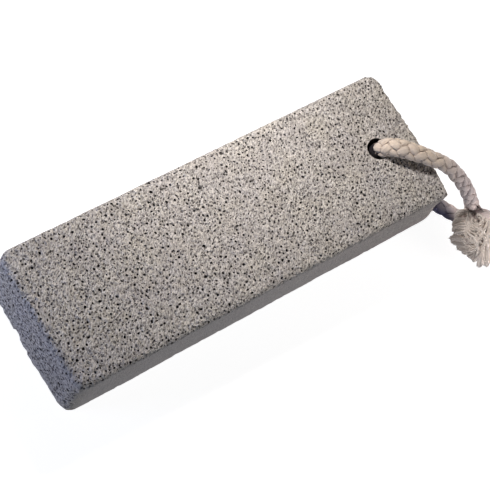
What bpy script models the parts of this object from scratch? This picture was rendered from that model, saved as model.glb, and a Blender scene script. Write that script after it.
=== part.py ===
"""Pumice foot stone: a rectangular bar of pumice with a braided cotton rope loop.

The bar lies flat, and its holed end is propped up by the rope that runs out from
under it. The origin is on the table, below the middle of the bar. +X runs along the
bar to the holed end, +Y to its back and +Z up. Units are metres.
"""
import math

import bmesh
import bpy
from mathutils import Matrix, Vector

MM = 0.001

# The pumice bar
BAR_LENGTH = 140 * MM
BAR_WIDTH = 47 * MM
BAR_THICKNESS = 25 * MM
CORNER_RADIUS = 4.5 * MM      # the four upright corners, seen from above
CORNER_SEGMENTS = 6
EDGE_RADIUS = 1.6 * MM        # worn edges round the top and the underside
EDGE_SEGMENTS = 3
HOLE_RADIUS = 3.75 * MM
HOLE_RIM = 1.0 * MM           # how far the hole's two mouths are worn open
HOLE_INSET = 14.5 * MM        # from the hole's axis to the end of the bar
HOLE_SIDES = 32

# A piece is broken out of the lower edge of the plain end
CHIP_RADIUS = 6 * MM
CHIP_DEPTH = 1.5 * MM
CHIP_OFFSET = 4 * MM          # from the middle of the end, towards the back

# The rope, the space that touching pieces keep between them, and how much is worn or
# pressed flat where the bar and the rope lie on the table
ROPE_DIAMETER = 5.6 * MM
GAP = 0.3 * MM
REST_FLAT = 0.2 * MM

# The rope's route, from the knot over the bar, down the hole and back under the bar,
# with each point in millimetres
ROPE_ROUTE_MM = [
    (87.3, -27.0, 10.9),
    (85.7, -25.0, 14.4),
    (82.3, -22.5, 20.2),
    (77.3, -19.0, 27.1),
    (71.4, -15.1, 33.3),
    (65.8, -11.3, 36.0),
    (61.0, -6.7, 36.3),
    (57.8, -3.3, 35.1),
    (55.8, -1.2, 32.7),
    (55.0, -0.2, 29.0),
    (55.1, 0.0, 24.3),
    (55.4, 0.0, 18.3),
    (55.7, 0.0, 12.3),
    (56.1, -0.1, 8.6),
    (56.8, -0.8, 5.2),
    (58.6, -2.4, 3.15),
    (61.0, -4.4, 2.6),
    (65.0, -7.4, 2.6),
    (70.0, -11.1, 2.6),
    (75.3, -14.9, 2.6),
    (80.0, -18.8, 2.6),
    (82.9, -22.8, 2.6),
    (84.7, -26.2, 3.0),
]
ROUTE_STEPS = 4               # tube points for each point of the route
TUBE_RESOLUTION = 3
WELD = 0.01 * MM              # points nearer than this are made one

# The knot that joins the two ends of the rope, and the frayed ends beyond it
KNOT_CENTRE = Vector((90.3, -32.0, 6.8)) * MM
KNOT_RADII = Vector((7.0, 6.4, 6.8)) * MM
TUFT_CENTRE = Vector((83.2, -38.6, 5.3)) * MM
TUFT_RADII = Vector((9.6, 9.4, 5.3)) * MM
BALL_SEGMENTS = 24
BALL_RINGS = 14

# The underside clears the rope at the hole, which sets how far the bar is tipped up
HOLE_X = BAR_LENGTH / 2 - HOLE_INSET
TILT = math.asin((ROPE_DIAMETER + GAP) / (BAR_LENGTH / 2 - EDGE_RADIUS + HOLE_X))
BAR_HEIGHT = (
    EDGE_RADIUS
    + (BAR_LENGTH / 2 - EDGE_RADIUS) * math.sin(TILT)
    + (BAR_THICKNESS / 2 - EDGE_RADIUS) * math.cos(TILT)
    - REST_FLAT
)


def clear_scene():
    for old in list(bpy.data.objects):
        bpy.data.objects.remove(old, do_unlink=True)


def new_collection(name):
    collection = bpy.data.collections.new(name)
    bpy.context.scene.collection.children.link(collection)
    return collection


def new_material(name, colour, roughness):
    material = bpy.data.materials.new(name)
    material.use_nodes = True
    shader = material.node_tree.nodes["Principled BSDF"]
    shader.inputs["Base Color"].default_value = (*colour, 1)
    shader.inputs["Roughness"].default_value = roughness
    shader.inputs["Metallic"].default_value = 0
    return material


def object_from_bmesh(name, shape, collection):
    mesh = bpy.data.meshes.new(name)
    shape.to_mesh(mesh)
    shape.free()
    made = bpy.data.objects.new(name, mesh)
    collection.objects.link(made)
    return made


def shade_rounded(made, degrees=30):
    made.data.shade_smooth()
    made.data.set_sharp_from_angle(angle=math.radians(degrees))


def as_cutter(made):
    made.hide_render = True
    made.display_type = "WIRE"


def cut(made, cutter, name):
    boolean = made.modifiers.new(name, "BOOLEAN")
    boolean.operation = "DIFFERENCE"
    boolean.object = cutter


def bevelled_bar():
    """The bar about its own centre, with its corners and then its edges rounded."""
    bar = bmesh.new()
    bmesh.ops.create_cube(bar, size=1)
    bmesh.ops.scale(bar, vec=(BAR_LENGTH, BAR_WIDTH, BAR_THICKNESS), verts=bar.verts)
    uprights = [
        edge for edge in bar.edges
        if abs(edge.verts[0].co.z - edge.verts[1].co.z) > BAR_THICKNESS / 2
    ]
    bmesh.ops.bevel(
        bar, geom=uprights, offset=CORNER_RADIUS, segments=CORNER_SEGMENTS,
        profile=0.5, affect="EDGES",
    )
    rims = [edge for edge in bar.edges if edge.verts[0].co.z * edge.verts[1].co.z > 0]
    bmesh.ops.bevel(
        bar, geom=rims, offset=EDGE_RADIUS, segments=EDGE_SEGMENTS,
        profile=0.5, affect="EDGES",
    )
    return bar


def hole_cutter(collection):
    """A turned bobbin: the hole, flared at both of its mouths."""
    half = BAR_THICKNESS / 2
    overshoot = 2 * MM
    profile = [
        (HOLE_RADIUS + HOLE_RIM + overshoot, half + overshoot),
        (HOLE_RADIUS + HOLE_RIM, half),
        (HOLE_RADIUS, half - HOLE_RIM),
        (HOLE_RADIUS, HOLE_RIM - half),
        (HOLE_RADIUS + HOLE_RIM, -half),
        (HOLE_RADIUS + HOLE_RIM + overshoot, -half - overshoot),
    ]
    axis_top = (0, half + overshoot)
    axis_bottom = (0, -half - overshoot)
    outline = bmesh.new()
    points = [
        outline.verts.new((radius, 0, height))
        for radius, height in [axis_top, *profile, axis_bottom]
    ]
    for start, end in zip(points, points[1:]):
        outline.edges.new((start, end))
    cutter = object_from_bmesh("hole_cutter", outline, collection)
    screw = cutter.modifiers.new("turn", "SCREW")
    screw.steps = HOLE_SIDES
    screw.render_steps = HOLE_SIDES
    screw.use_merge_vertices = True
    screw.merge_threshold = WELD
    as_cutter(cutter)
    return cutter


def chip_cutter(collection):
    """A rough lump that takes a shallow bite out of the plain end's lower edge."""
    lump = bmesh.new()
    bmesh.ops.create_icosphere(lump, subdivisions=2, radius=CHIP_RADIUS)
    cutter = object_from_bmesh("chip_cutter", lump, collection)
    reach = (CHIP_RADIUS - CHIP_DEPTH) * math.sqrt(0.5)
    cutter.location = (
        -BAR_LENGTH / 2 - reach,
        CHIP_OFFSET,
        -BAR_THICKNESS / 2 - reach,
    )
    as_cutter(cutter)
    return cutter


def table_cutter(collection):
    """A slab whose top is the table, to cut off whatever would lie below it."""
    slab = bmesh.new()
    bmesh.ops.create_cube(slab, size=1)
    bmesh.ops.scale(slab, vec=(2 * BAR_LENGTH, BAR_LENGTH, 10 * MM), verts=slab.verts)
    bmesh.ops.translate(slab, vec=(0, 0, -5 * MM), verts=slab.verts)
    cutter = object_from_bmesh("table_cutter", slab, collection)
    as_cutter(cutter)
    return cutter


def make_bar(collection, cutters, table):
    bar = object_from_bmesh("pumice_stone", bevelled_bar(), collection)
    bar.data.materials.append(new_material("pumice", (0.37, 0.34, 0.31), 0.95))
    hole = hole_cutter(cutters)
    hole.location.x = HOLE_X
    chip = chip_cutter(cutters)
    cut(bar, hole, "rope hole")
    cut(bar, chip, "broken edge")
    tipped = Matrix.Translation((0, 0, BAR_HEIGHT)) @ Matrix.Rotation(-TILT, 4, "Y")
    for piece in (bar, hole, chip):
        piece.matrix_world = tipped @ piece.matrix_basis
    cut(bar, table, "worn flat")
    shade_rounded(bar)
    return bar


def smooth_route(points, steps):
    """Points on a centripetal curve through the route's own points, none too low to lie flat."""
    padded = [2 * points[0] - points[1], *points, 2 * points[-1] - points[-2]]
    line = []
    for index in range(1, len(padded) - 2):
        before, start, end, after = padded[index - 1:index + 3]
        knots = [0.0]
        for left, right in ((before, start), (start, end), (end, after)):
            knots.append(knots[-1] + math.sqrt((right - left).length))
        for step in range(steps):
            at = knots[1] + (knots[2] - knots[1]) * step / steps
            line.append(curve_point((before, start, end, after), knots, at))
    line.append(points[-1].copy())
    for point in line:
        point.z = max(point.z, ROPE_DIAMETER / 2 - REST_FLAT)
    return line


def curve_point(controls, knots, at):
    """One point of the curve, by repeated interpolation between its four controls."""
    layer = list(controls)
    for span in (1, 2):
        layer = [
            layer[i].lerp(layer[i + 1], (at - knots[i]) / (knots[i + span] - knots[i]))
            for i in range(len(layer) - 1)
        ]
    return layer[0].lerp(layer[1], (at - knots[1]) / (knots[2] - knots[1]))


def mesh_from_curve(name, curve_object, collection):
    """Turns a curve object into a mesh object whose end caps are welded on."""
    shown = curve_object.evaluated_get(bpy.context.evaluated_depsgraph_get())
    tube = bmesh.new()
    tube.from_mesh(bpy.data.meshes.new_from_object(shown))
    bmesh.ops.remove_doubles(tube, verts=tube.verts, dist=WELD)
    made = object_from_bmesh(name, tube, collection)
    made.matrix_world = curve_object.matrix_world
    bpy.data.objects.remove(curve_object, do_unlink=True)
    return made


def make_rope(collection, table, material):
    route = [Vector(point) * MM for point in ROPE_ROUTE_MM]
    line = smooth_route(route, ROUTE_STEPS)
    curve = bpy.data.curves.new("rope_loop", "CURVE")
    curve.dimensions = "3D"
    curve.bevel_depth = ROPE_DIAMETER / 2
    curve.bevel_resolution = TUBE_RESOLUTION
    curve.use_fill_caps = True
    spline = curve.splines.new("POLY")
    spline.points.add(len(line) - 1)
    for target, point in zip(spline.points, line):
        target.co = (*point, 1)
        target.radius = 1
    spline.use_smooth = True
    tube = bpy.data.objects.new("rope_tube", curve)
    collection.objects.link(tube)
    rope = mesh_from_curve("rope_loop", tube, collection)
    rope.data.materials.append(material)
    cut(rope, table, "pressed flat")
    shade_rounded(rope)
    return rope


def ball(name, collection, centre, radii):
    shape = bmesh.new()
    bmesh.ops.create_uvsphere(
        shape, u_segments=BALL_SEGMENTS, v_segments=BALL_RINGS, radius=1
    )
    bmesh.ops.scale(shape, vec=radii, verts=shape.verts)
    made = object_from_bmesh(name, shape, collection)
    made.location = centre
    shade_rounded(made)
    return made


def make_knot(collection, material):
    knot = ball("rope_knot", collection, KNOT_CENTRE, KNOT_RADII)
    knot.data.materials.append(material)
    return knot


def make_tuft(collection, cutters, material):
    """The frayed ends as one solid that reaches their tips, hollowed to fit the knot."""
    tuft = ball("frayed_tuft", collection, TUFT_CENTRE, TUFT_RADII)
    tuft.data.materials.append(material)
    grown = KNOT_RADII + Vector((GAP, GAP, GAP))
    socket = ball("knot_cutter", cutters, KNOT_CENTRE, grown)
    as_cutter(socket)
    cut(tuft, socket, "room for the knot")
    return tuft


def main():
    clear_scene()
    parts = new_collection("pumice_foot_stone")
    cutters = new_collection("cutters")
    cotton = new_material("cotton", (0.52, 0.43, 0.36), 0.9)
    table = table_cutter(cutters)
    make_bar(parts, cutters, table)
    make_rope(parts, table, cotton)
    make_knot(parts, cotton)
    make_tuft(parts, cutters, cotton)


main()
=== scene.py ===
"""Looks of the pumice foot stone: its pores, the braided cotton rope and the frayed knot.

Shapes are worked out in millimetres and become metres when their mesh is made. The bar
is made about its own centre and then tipped up as the CAD model has it.
"""

import math
import random

import bpy
import numpy as np
from mathutils import Matrix, Vector, noise
from mathutils.geometry import delaunay_2d_cdt

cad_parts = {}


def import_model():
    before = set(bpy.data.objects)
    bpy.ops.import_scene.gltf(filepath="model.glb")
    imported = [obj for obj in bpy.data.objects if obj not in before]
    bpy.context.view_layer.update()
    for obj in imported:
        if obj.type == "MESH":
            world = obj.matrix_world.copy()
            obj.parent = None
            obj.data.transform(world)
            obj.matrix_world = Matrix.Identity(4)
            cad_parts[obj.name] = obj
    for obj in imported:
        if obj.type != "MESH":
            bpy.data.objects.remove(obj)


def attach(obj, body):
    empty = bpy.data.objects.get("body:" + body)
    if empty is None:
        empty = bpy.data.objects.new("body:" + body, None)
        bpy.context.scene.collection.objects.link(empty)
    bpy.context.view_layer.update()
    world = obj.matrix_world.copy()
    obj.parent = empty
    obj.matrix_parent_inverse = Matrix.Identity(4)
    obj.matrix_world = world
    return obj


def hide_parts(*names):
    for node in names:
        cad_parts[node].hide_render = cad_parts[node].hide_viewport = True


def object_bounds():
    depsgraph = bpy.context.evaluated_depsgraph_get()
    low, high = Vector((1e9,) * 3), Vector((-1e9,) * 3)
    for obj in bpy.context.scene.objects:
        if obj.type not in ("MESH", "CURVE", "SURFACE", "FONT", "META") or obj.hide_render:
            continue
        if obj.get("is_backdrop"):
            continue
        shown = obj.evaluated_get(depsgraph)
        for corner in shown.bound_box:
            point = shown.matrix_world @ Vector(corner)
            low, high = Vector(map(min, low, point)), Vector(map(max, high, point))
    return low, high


MM = 0.001

# The bar, as in the CAD model
HALF_LENGTH, HALF_WIDTH, HALF_THICKNESS = 70.0, 23.5, 12.5
CORNER_RADIUS = 4.5
EDGE_RADIUS = 1.6
HOLE_RADIUS = 3.6             # rough inside, and 3.75 at its worn mouths
HOLE_RIM = 0.15
HOLE_X = 55.5
ROPE_DIAMETER = 5.6
GAP = 0.3
REST_FLAT = 0.2
TILT = math.asin((ROPE_DIAMETER + GAP) / (HALF_LENGTH - EDGE_RADIUS + HOLE_X))
BAR_HEIGHT = (
    EDGE_RADIUS
    + (HALF_LENGTH - EDGE_RADIUS) * math.sin(TILT)
    + (HALF_THICKNESS - EDGE_RADIUS) * math.cos(TILT)
    - REST_FLAT
)

MOUTH = (                     # along and above, the middle of the hole's upper mouth
    HOLE_X * math.cos(TILT) - HALF_THICKNESS * math.sin(TILT),
    BAR_HEIGHT + HOLE_X * math.sin(TILT) + HALF_THICKNESS * math.cos(TILT),
)

# How the stone's skin is divided: the top and the underside each reach round their edge
# and a little way down the sides, and one strip goes round between them
SKIRT = 1.2
FACE_REACH = EDGE_RADIUS * math.pi / 2 + SKIRT
STRIP_HALF = HALF_THICKNESS - EDGE_RADIUS - SKIRT
RIM_STEPS = 440
STRIP_ROWS = 22
HOLE_STEPS = 36

# Smooth noise on the stone: the size of its bumps, and a seed
SWELLS = (14.0, 0)
BUMPS = (3.2, 3)
CRUMBS = (2.1, 9)
BREAKS = (7.0, 13)
CHIP_BUMPS = (3.0, 5)
BORE_BUMPS = (2.2, 21)

# How high those stand, and how much of the roughness is sawn off the long sides
SWELL_HEIGHT = 0.16
BUMP_HEIGHT = 0.10
SAWN_OFF = 0.8
CRUMB_DEPTH, CRUMB_LEVEL = 0.75, -0.05    # small bites out of the edges
BREAK_DEPTH, BREAK_LEVEL = 1.6, 0.22      # longer stretches of edge worn away
CHIP_BUMP_HEIGHT = 0.35
BORE_BUMP_HEIGHT = 0.22

# How much squarer the front corners are than the CAD model's, as shares of their radius
HOLE_CORNER = 0.52
PLAIN_CORNER = 0.156

# The end with the hole isn't square: towards the front it is shorter by up to END_SKEW, but
# its foot stands out by up to LOW_SPLAY, and its upper front corner is pushed forward by up
# to CORNER_PUSH
END_SKEW = 1.15
SKEW_FROM, SKEW_OVER = -2.0, 21.0
LOW_SPLAY = 4.0
SPLAY_FROM, SPLAY_OVER = 6.0, 18.5
CORNER_PUSH = 0.6

# Chips out of the lower edge of the plain end, and a stretch of it that stands out:
# (middle, half width, depth) along the edge
CHIP_STEPS = [(5.0, 1.6, 0.75), (-1.2, 0.9, 0.55), (-2.0, 4.6, -0.55)]
CHIP_REACH = 4.5

# The rope's route, from the knot over the bar, down the hole and back under the bar
ROPE_ROUTE = [
    (87.3, -27.0, 10.9), (85.7, -25.0, 14.4), (82.3, -22.5, 20.2), (77.3, -19.0, 27.1),
    (71.4, -15.1, 33.3), (65.8, -11.3, 36.0), (61.0, -6.7, 36.3), (58.0, -3.3, 35.1),
    (56.4, -1.2, 32.7), (55.7, -0.2, 29.0), (55.5, 0.0, 24.3), (55.4, 0.0, 18.3),
    (55.7, 0.0, 12.3), (56.1, -0.1, 8.6), (56.8, -0.8, 5.2), (58.6, -2.4, 3.15),
    (61.0, -4.4, 2.6), (65.0, -7.4, 2.6), (70.0, -11.1, 2.6), (75.3, -14.9, 2.6),
    (80.0, -18.8, 2.6), (82.9, -22.8, 2.6), (84.7, -26.2, 3.0),
]
ROPE_STEP = 0.35              # between the rings of a strand
LINE_STEPS = 8                # points of a smooth line for each one of its route
# Painted shade on the rope inside the hole, as a mark that the cotton material reads
HOLE_SHADE_MARK = 1.5               # darkens the rope inside the hole

# The braid: eight strands, four each way round, each over one and under the next, so that
# eight columns of slanting lumps run along the rope
STRANDS_EACH_WAY = 4
BRAID_LEAD = 23.5             # along the rope for one turn of a strand, at its full thickness
BRAID_TURN = math.pi / 8      # puts the line where two columns meet on the rope's upper side
BRAID_FACING = (-0.46, -0.18, 0.87)
STRAND_CIRCLE = 1.60
STRAND_WAVE = 0.34
STRAND_WIDTH = 2.45
STRAND_THICKNESS = 1.7
STRAND_YARNS = 8
STRAND_SIDES = 24
STRAND_DWELL = 1.5            # how long a strand stays over or under before it crosses
STRAND_BULGE = 0.10           # how much wider it is where it lies on top
YARN_GROOVE = 0.16
YARN_MEAN = 0.72              # where a strand's skin is neither proud of its oval nor inside it
# Painted shade where strands press together and in the grooves between yarns:
TOUCH_FROM, TOUCH_OVER = 1.24, 0.30   # how near another strand darkens a strand, and how fast
TOUCH_SHADE, GROOVE_SHADE = 0.95, 3.0

# Loose yarns and fibres
OFF_TABLE = 0.05              # the least height of the knot and the loose yarns
STRAY_FIBRES = 150
FIBRE_STEP = 0.5
FIBRE_HEIGHT = 2.45           # above the rope's middle line
YARN_TIP = 0.75               # how thick a yarn's free end is, next to the rest of it

# The camera, which looks down on the bar from the plain end
CAMERA_PLACE = Vector((-216.36, -89.6, 434.42))
CAMERA_AIM = Vector((4.0, -5.23, 15.54))
CAMERA_ROLL = math.radians(39.43)
CAMERA_LENS = 113.9
SENSOR = 36.0

# Lights: name, place, what it points at, size, watts, colour and how wide it spreads
LIGHTS = [
    ("key", (13, 52, 143), (13, 45, 0), 26, 0.184, (1.0, 0.955, 0.925), 180),
    ("left_fill", (-225, 60, 62), (-50, 8, 18), 90, 0.166, (0.56, 0.66, 1.0), 180),
    ("front_fill", (-70, -290, 55), (0, -20, 15), 120, 0.103, (0.72, 0.86, 1.0), 180),
    ("low_fill", (146, -110, 36), (86, -33, 12), 50, 0.068, (1.0, 0.92, 0.87), 180),
    ("knot_fill", (30, -120, 34), (82, -38, 6), 14, 0.00018, (1.0, 0.90, 0.88), 16),
    ("back_fill", (20, 320, 50), (10, 20, 20), 110, 0.30, (1.0, 0.97, 0.93), 180),
]
SKY = (0.72, 0.83, 1.0, 1)
SKY_STRENGTH = 0.017
FLOOR_HALF = 1500.0
FLOOR_GLOW = (0.37, 0.36, 0.37)   # the light that the floor throws back


# ---------------- small helpers

def smoothstep(low, high, value):
    share = min(max((value - low) / (high - low), 0.0), 1.0)
    return share * share * (3 - 2 * share)


def ripple(point, size, seed=0.0):
    """Smooth noise between about -1 and 1, whose bumps are about size across."""
    return noise.noise(point / size + Vector((seed, 1.7 * seed, -seed)))


def put_in_scene(name, data):
    made = bpy.data.objects.new(name, data)
    bpy.context.scene.collection.objects.link(made)
    return made


class Shape:
    """Collects points and faces, with one number for each point that a material reads."""

    def __init__(self):
        self.points = []
        self.marks = []
        self.faces = []

    def add(self, point, mark=0.0):
        self.points.append(point)
        self.marks.append(mark)
        return len(self.points) - 1

    def add_rings(self, rings, marks):
        """A closed tube from an array of rings of points, with a fan over each end."""
        count, around = rings.shape[:2]
        base = len(self.points)
        self.points.extend(rings.reshape(-1, 3).tolist())
        self.marks.extend(marks.reshape(-1).tolist())
        added = [range(base + ring * around, base + (ring + 1) * around) for ring in range(count)]
        for here, after in zip(added, added[1:]):
            self.join(here, after)
        for ring, order in ((0, -1), (-1, 1)):
            hub = self.add(rings[ring].mean(axis=0).tolist(), float(marks[ring].mean()))
            edge = added[ring][::order]
            self.faces.extend((edge[side - 1], edge[side], hub) for side in range(around))

    def join(self, first, second):
        """A band of faces between two rings of points."""
        self.faces.extend(
            (first[side - 1], first[side], second[side], second[side - 1])
            for side in range(len(first))
        )

    def build(self, name, mark_name, material, sharp_degrees=None):
        mesh = bpy.data.meshes.new(name)
        mesh.from_pydata(np.array(self.points) * MM, [], self.faces)
        mesh.attributes.new(mark_name, "FLOAT", "POINT").data.foreach_set("value", self.marks)
        mesh.shade_smooth()
        if sharp_degrees:
            mesh.set_sharp_from_angle(angle=math.radians(sharp_degrees))
        mesh.materials.append(material)
        return put_in_scene(name, mesh)


# ---------------- the stone

def beyond_flat(x, y):
    """How far a point of a face is past the face's flat, and which way out that is."""
    over_x = abs(x) - (HALF_LENGTH - CORNER_RADIUS)
    over_y = abs(y) - (HALF_WIDTH - CORNER_RADIUS)
    flat = CORNER_RADIUS - EDGE_RADIUS
    if over_x > 0 and over_y > 0:
        reach = math.hypot(over_x, over_y)
        return (
            reach - flat,
            math.copysign(over_x / reach, x),
            math.copysign(over_y / reach, y),
        )
    if over_x > over_y:
        return over_x - flat, math.copysign(1, x), 0.0
    return over_y - flat, 0.0, math.copysign(1, y)


def face_point(x, y, up):
    """A point of the top (up 1) or underside (up -1): its place, its normal, and how far it
    is on the rounded edge."""
    beyond, out_x, out_y = beyond_flat(x, y)
    if beyond <= 0:
        return Vector((x, y, up * HALF_THICKNESS)), Vector((0, 0, up)), 0.0
    turn = min(beyond / EDGE_RADIUS, math.pi / 2)
    down = EDGE_RADIUS * (1 - math.cos(turn)) + max(beyond - EDGE_RADIUS * math.pi / 2, 0)
    shift = EDGE_RADIUS * math.sin(turn) - beyond
    place = Vector((x + out_x * shift, y + out_y * shift, up * (HALF_THICKNESS - down)))
    normal = Vector((out_x * math.sin(turn), out_y * math.sin(turn), up * math.cos(turn)))
    return place, normal, math.sin(2 * turn)


STRAIGHT_X = 2 * (HALF_LENGTH - CORNER_RADIUS)
STRAIGHT_Y = 2 * (HALF_WIDTH - CORNER_RADIUS)
QUARTER = CORNER_RADIUS * math.pi / 2
AROUND = 2 * (STRAIGHT_X + STRAIGHT_Y) + 4 * QUARTER


def outline_at(distance):
    """A point of the bar's outline and its normal, going round from the middle of the back."""
    x, y, angle = 0.0, HALF_WIDTH, math.pi / 2
    for length in (STRAIGHT_X / 2, STRAIGHT_Y, STRAIGHT_X, STRAIGHT_Y, STRAIGHT_X / 2):
        out_x, out_y = math.cos(angle), math.sin(angle)
        straight = min(distance, length)
        angle += min(max(distance - length, 0) / CORNER_RADIUS, math.pi / 2)
        x += CORNER_RADIUS * (math.cos(angle) - out_x) - out_y * straight
        y += CORNER_RADIUS * (math.sin(angle) - out_y) + out_x * straight
        distance -= length + QUARTER
        if distance <= 0:
            break
    return x, y, math.cos(angle), math.sin(angle)


def strip_point(along, height):
    """A point of the strip round the sides, as face_point gives one."""
    x, y, out_x, out_y = outline_at(along)
    return Vector((x, y, height)), Vector((out_x, out_y, 0)), 0.0


def strip_height(row):
    return STRIP_HALF * (2 * (row + 1) / STRIP_ROWS - 1)


def chipped(place):
    """How far the broken lower edge of the plain end lies inside the whole one."""
    across = math.hypot(place.x + HALF_LENGTH, place.z + HALF_THICKNESS)
    fade = 1 - smoothstep(0, CHIP_REACH, across)
    if fade <= 0:
        return 0.0
    deepest = sum(
        depth * (1 - smoothstep(0.8 * half, 1.1 * half, abs(place.y - middle)))
        for middle, half, depth in CHIP_STEPS
    )
    return fade * (deepest + CHIP_BUMP_HEIGHT * max(0, ripple(place, *CHIP_BUMPS)))


def out_of_square(place):
    """How far the end with the hole stands away from a plain box, at one point."""
    slant = min(max(0, SKEW_FROM - place.y) / SKEW_OVER, 1)
    skew = END_SKEW * slant * smoothstep(40, 68, place.x)
    low = min(max(0, SPLAY_FROM - place.z) / SPLAY_OVER, 1) * smoothstep(12, -10, place.y)
    splay = LOW_SPLAY * low * smoothstep(60, 68, place.x)
    high = smoothstep(-14, -22, place.y) * smoothstep(2, 10, place.z)
    return Vector((splay - skew, -CORNER_PUSH * high * smoothstep(61, 68, place.x), 0))


def sawn_share(normal):
    """1 on the two sawn long sides, 0 on the other faces, and between round the edges."""
    return abs(normal.y) ** 3


def edge_wear(place, normal, edge):
    """How deep the rounded edges are worn, less so along the sawn sides."""
    edge *= 1 - (0.6 if place.z > 0 else 0.85) * abs(normal.y)
    edge *= 1 - 0.7 * smoothstep(60, 66, place.x) * smoothstep(-6, -12, place.y)
    crumbs = CRUMB_DEPTH * max(0, ripple(place, *CRUMBS) - CRUMB_LEVEL)
    breaks = BREAK_DEPTH * max(0, ripple(place, *BREAKS) - BREAK_LEVEL)
    return edge * (crumbs + breaks)


def worn(place, normal, edge, lift):
    """Moves a point of the smooth bar to where the weathered stone's skin is."""
    rough = 1 - SAWN_OFF * sawn_share(normal)
    height = SWELL_HEIGHT * ripple(place, *SWELLS)
    height += rough * (BUMP_HEIGHT * ripple(place, *BUMPS) + lift)
    if normal.y < 0:
        flat = math.hypot(normal.x, normal.y)
        squarer = flat / max(abs(normal.x), abs(normal.y)) - 1
        share = HOLE_CORNER if place.x > 0 else PLAIN_CORNER
        height += share * CORNER_RADIUS * flat * squarer
    if edge > 0:
        height -= edge_wear(place, normal, edge)
    inward = chipped(place) * math.sqrt(0.5)
    return place + normal * height + out_of_square(place) + Vector((inward, 0, inward))


def skin_point(shape, place, normal, edge, lift=0.0):
    """Adds a point of the skin, with a mark below zero where the stone is sawn smooth."""
    return shape.add(worn(place, normal, edge, lift), -sawn_share(normal))


class Scatter:
    """Throws discs onto a flat sheet, keeping those that stay clear of the rest."""

    CELL = 1.6        # side of the squares that the discs are sorted into
    FAVOUR = 1.6      # above 1, small discs are commoner than large ones

    def __init__(self, rng, low, high, room):
        self.rng = rng
        self.low, self.high = low, high
        self.room = room
        self.cells = {}

    def key(self, u, v):
        return int(u // self.CELL), int(v // self.CELL)

    def clear(self, u, v, reach):
        column, row = self.key(u, v)
        for i in (column - 1, column, column + 1):
            for j in (row - 1, row, row + 1):
                for other_u, other_v, other in self.cells.get((i, j), ()):
                    if (u - other_u) ** 2 + (v - other_v) ** 2 < (reach + other) ** 2:
                        return False
        return True

    def throw(self, tries, smallest, largest, gap, likely=None):
        kept = []
        for _ in range(tries):
            u = self.rng.uniform(self.low[0], self.high[0])
            v = self.rng.uniform(self.low[1], self.high[1])
            radius = smallest + (largest - smallest) * self.rng.random() ** self.FAVOUR
            chance = self.rng.random()
            if self.room(u, v) < radius * 1.2 + 0.12:
                continue
            if likely and chance > likely(u, v):
                continue
            if self.clear(u, v, radius + gap):
                self.cells.setdefault(self.key(u, v), []).append((u, v, radius))
                kept.append((u, v, radius))
        return kept


class Sheet:
    """One flat sheet of the stone's skin: its border, its pores and the lumps between."""

    FLOOR_SHARE = 0.74      # how wide a pit's floor is, next to its mouth

    def __init__(self, shape, rng, place_at, flip=False):
        self.shape, self.rng = shape, rng
        self.place_at = place_at
        self.flip = flip
        self.flat, self.index, self.loops, self.pores = [], [], [], []

    def point(self, u, v, index):
        self.flat.append(Vector((u, v)))
        self.index.append(index)
        return len(self.flat) - 1

    def skin_point(self, u, v, lift):
        return skin_point(self.shape, *self.place_at(u, v), lift)

    def loop(self, points):
        """A border through points whose vertices are already in the shape."""
        self.loops.append([self.point(u, v, index) for u, v, index in points])

    def lump(self, u, v, lift):
        self.point(u, v, self.skin_point(u, v, lift))

    def pore(self, u, v, radius, sides, deepness):
        """A small pit with steep walls and an uneven, oval rim."""
        rng = self.rng
        squash = rng.uniform(0.5, 1.0)
        turn = rng.uniform(0, math.pi)
        rim = []
        for side in range(sides):
            angle = 2 * math.pi * (side + rng.uniform(-0.2, 0.2)) / sides
            reach = radius * rng.uniform(0.82, 1.25)
            long_way, short_way = reach * math.cos(angle), reach * squash * math.sin(angle)
            at_u = u + long_way * math.cos(turn) - short_way * math.sin(turn)
            at_v = v + long_way * math.sin(turn) + short_way * math.cos(turn)
            rim.append((at_u, at_v, self.skin_point(at_u, at_v, rng.uniform(-0.10, 0.12))))
        self.pores.append([self.point(*corner) for corner in rim])
        _, inward, _ = self.place_at(u, v)
        depth = deepness * radius * rng.uniform(0.8, 1.2)
        ring = [Vector(self.shape.points[index]) for _, _, index in rim]
        middle = sum(ring, Vector()) / sides
        slant = Vector([rng.uniform(-0.15, 0.15) * radius for _ in range(3)])
        self.walls(rim, ring, middle, inward * -depth + slant)

    def walls(self, rim, ring, middle, sink):
        sides = len(rim)
        # The floor's points get mark 1, which the material paints with shade
        foot = [
            self.shape.add(
                middle.lerp(corner, self.FLOOR_SHARE) + sink * self.rng.uniform(0.8, 1.0), 1.0
            )
            for corner in ring
        ]
        for side in range(sides):
            after = (side + 1) % sides
            top_here, top_after = rim[side][2], rim[after][2]
            self.face((top_here, top_after, foot[after]))
            self.face((top_here, foot[after], foot[side]))
        for side in range(1, sides - 1):
            self.face((foot[0], foot[side], foot[side + 1]))

    def face(self, corners):
        self.shape.faces.append(corners[::-1] if self.flip else corners)

    def close(self):
        """Fills the sheet between its borders and its pores with triangles."""
        kept = delaunay_2d_cdt(self.flat, [], self.loops + self.pores, 1, 1e-7)
        places, _, triangles, sources, _, owners = kept
        lookup = [self.index[source[0]] for source in sources]
        for triangle, owner in zip(triangles, owners):
            if owner == [0]:
                corners = tuple(lookup[corner] for corner in triangle)
                if len(set(corners)) == 3:
                    self.face(corners)


def face_room(u, v):
    """How far a place of the top or underside is from the sheet's border and the hole."""
    margin = FACE_REACH - beyond_flat(u, v)[0]
    return min(margin, math.hypot(u - HOLE_X, v) - HOLE_RADIUS - HOLE_RIM)


def strip_room(along, height):
    return min(along, AROUND - along, STRIP_HALF - abs(height))


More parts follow.
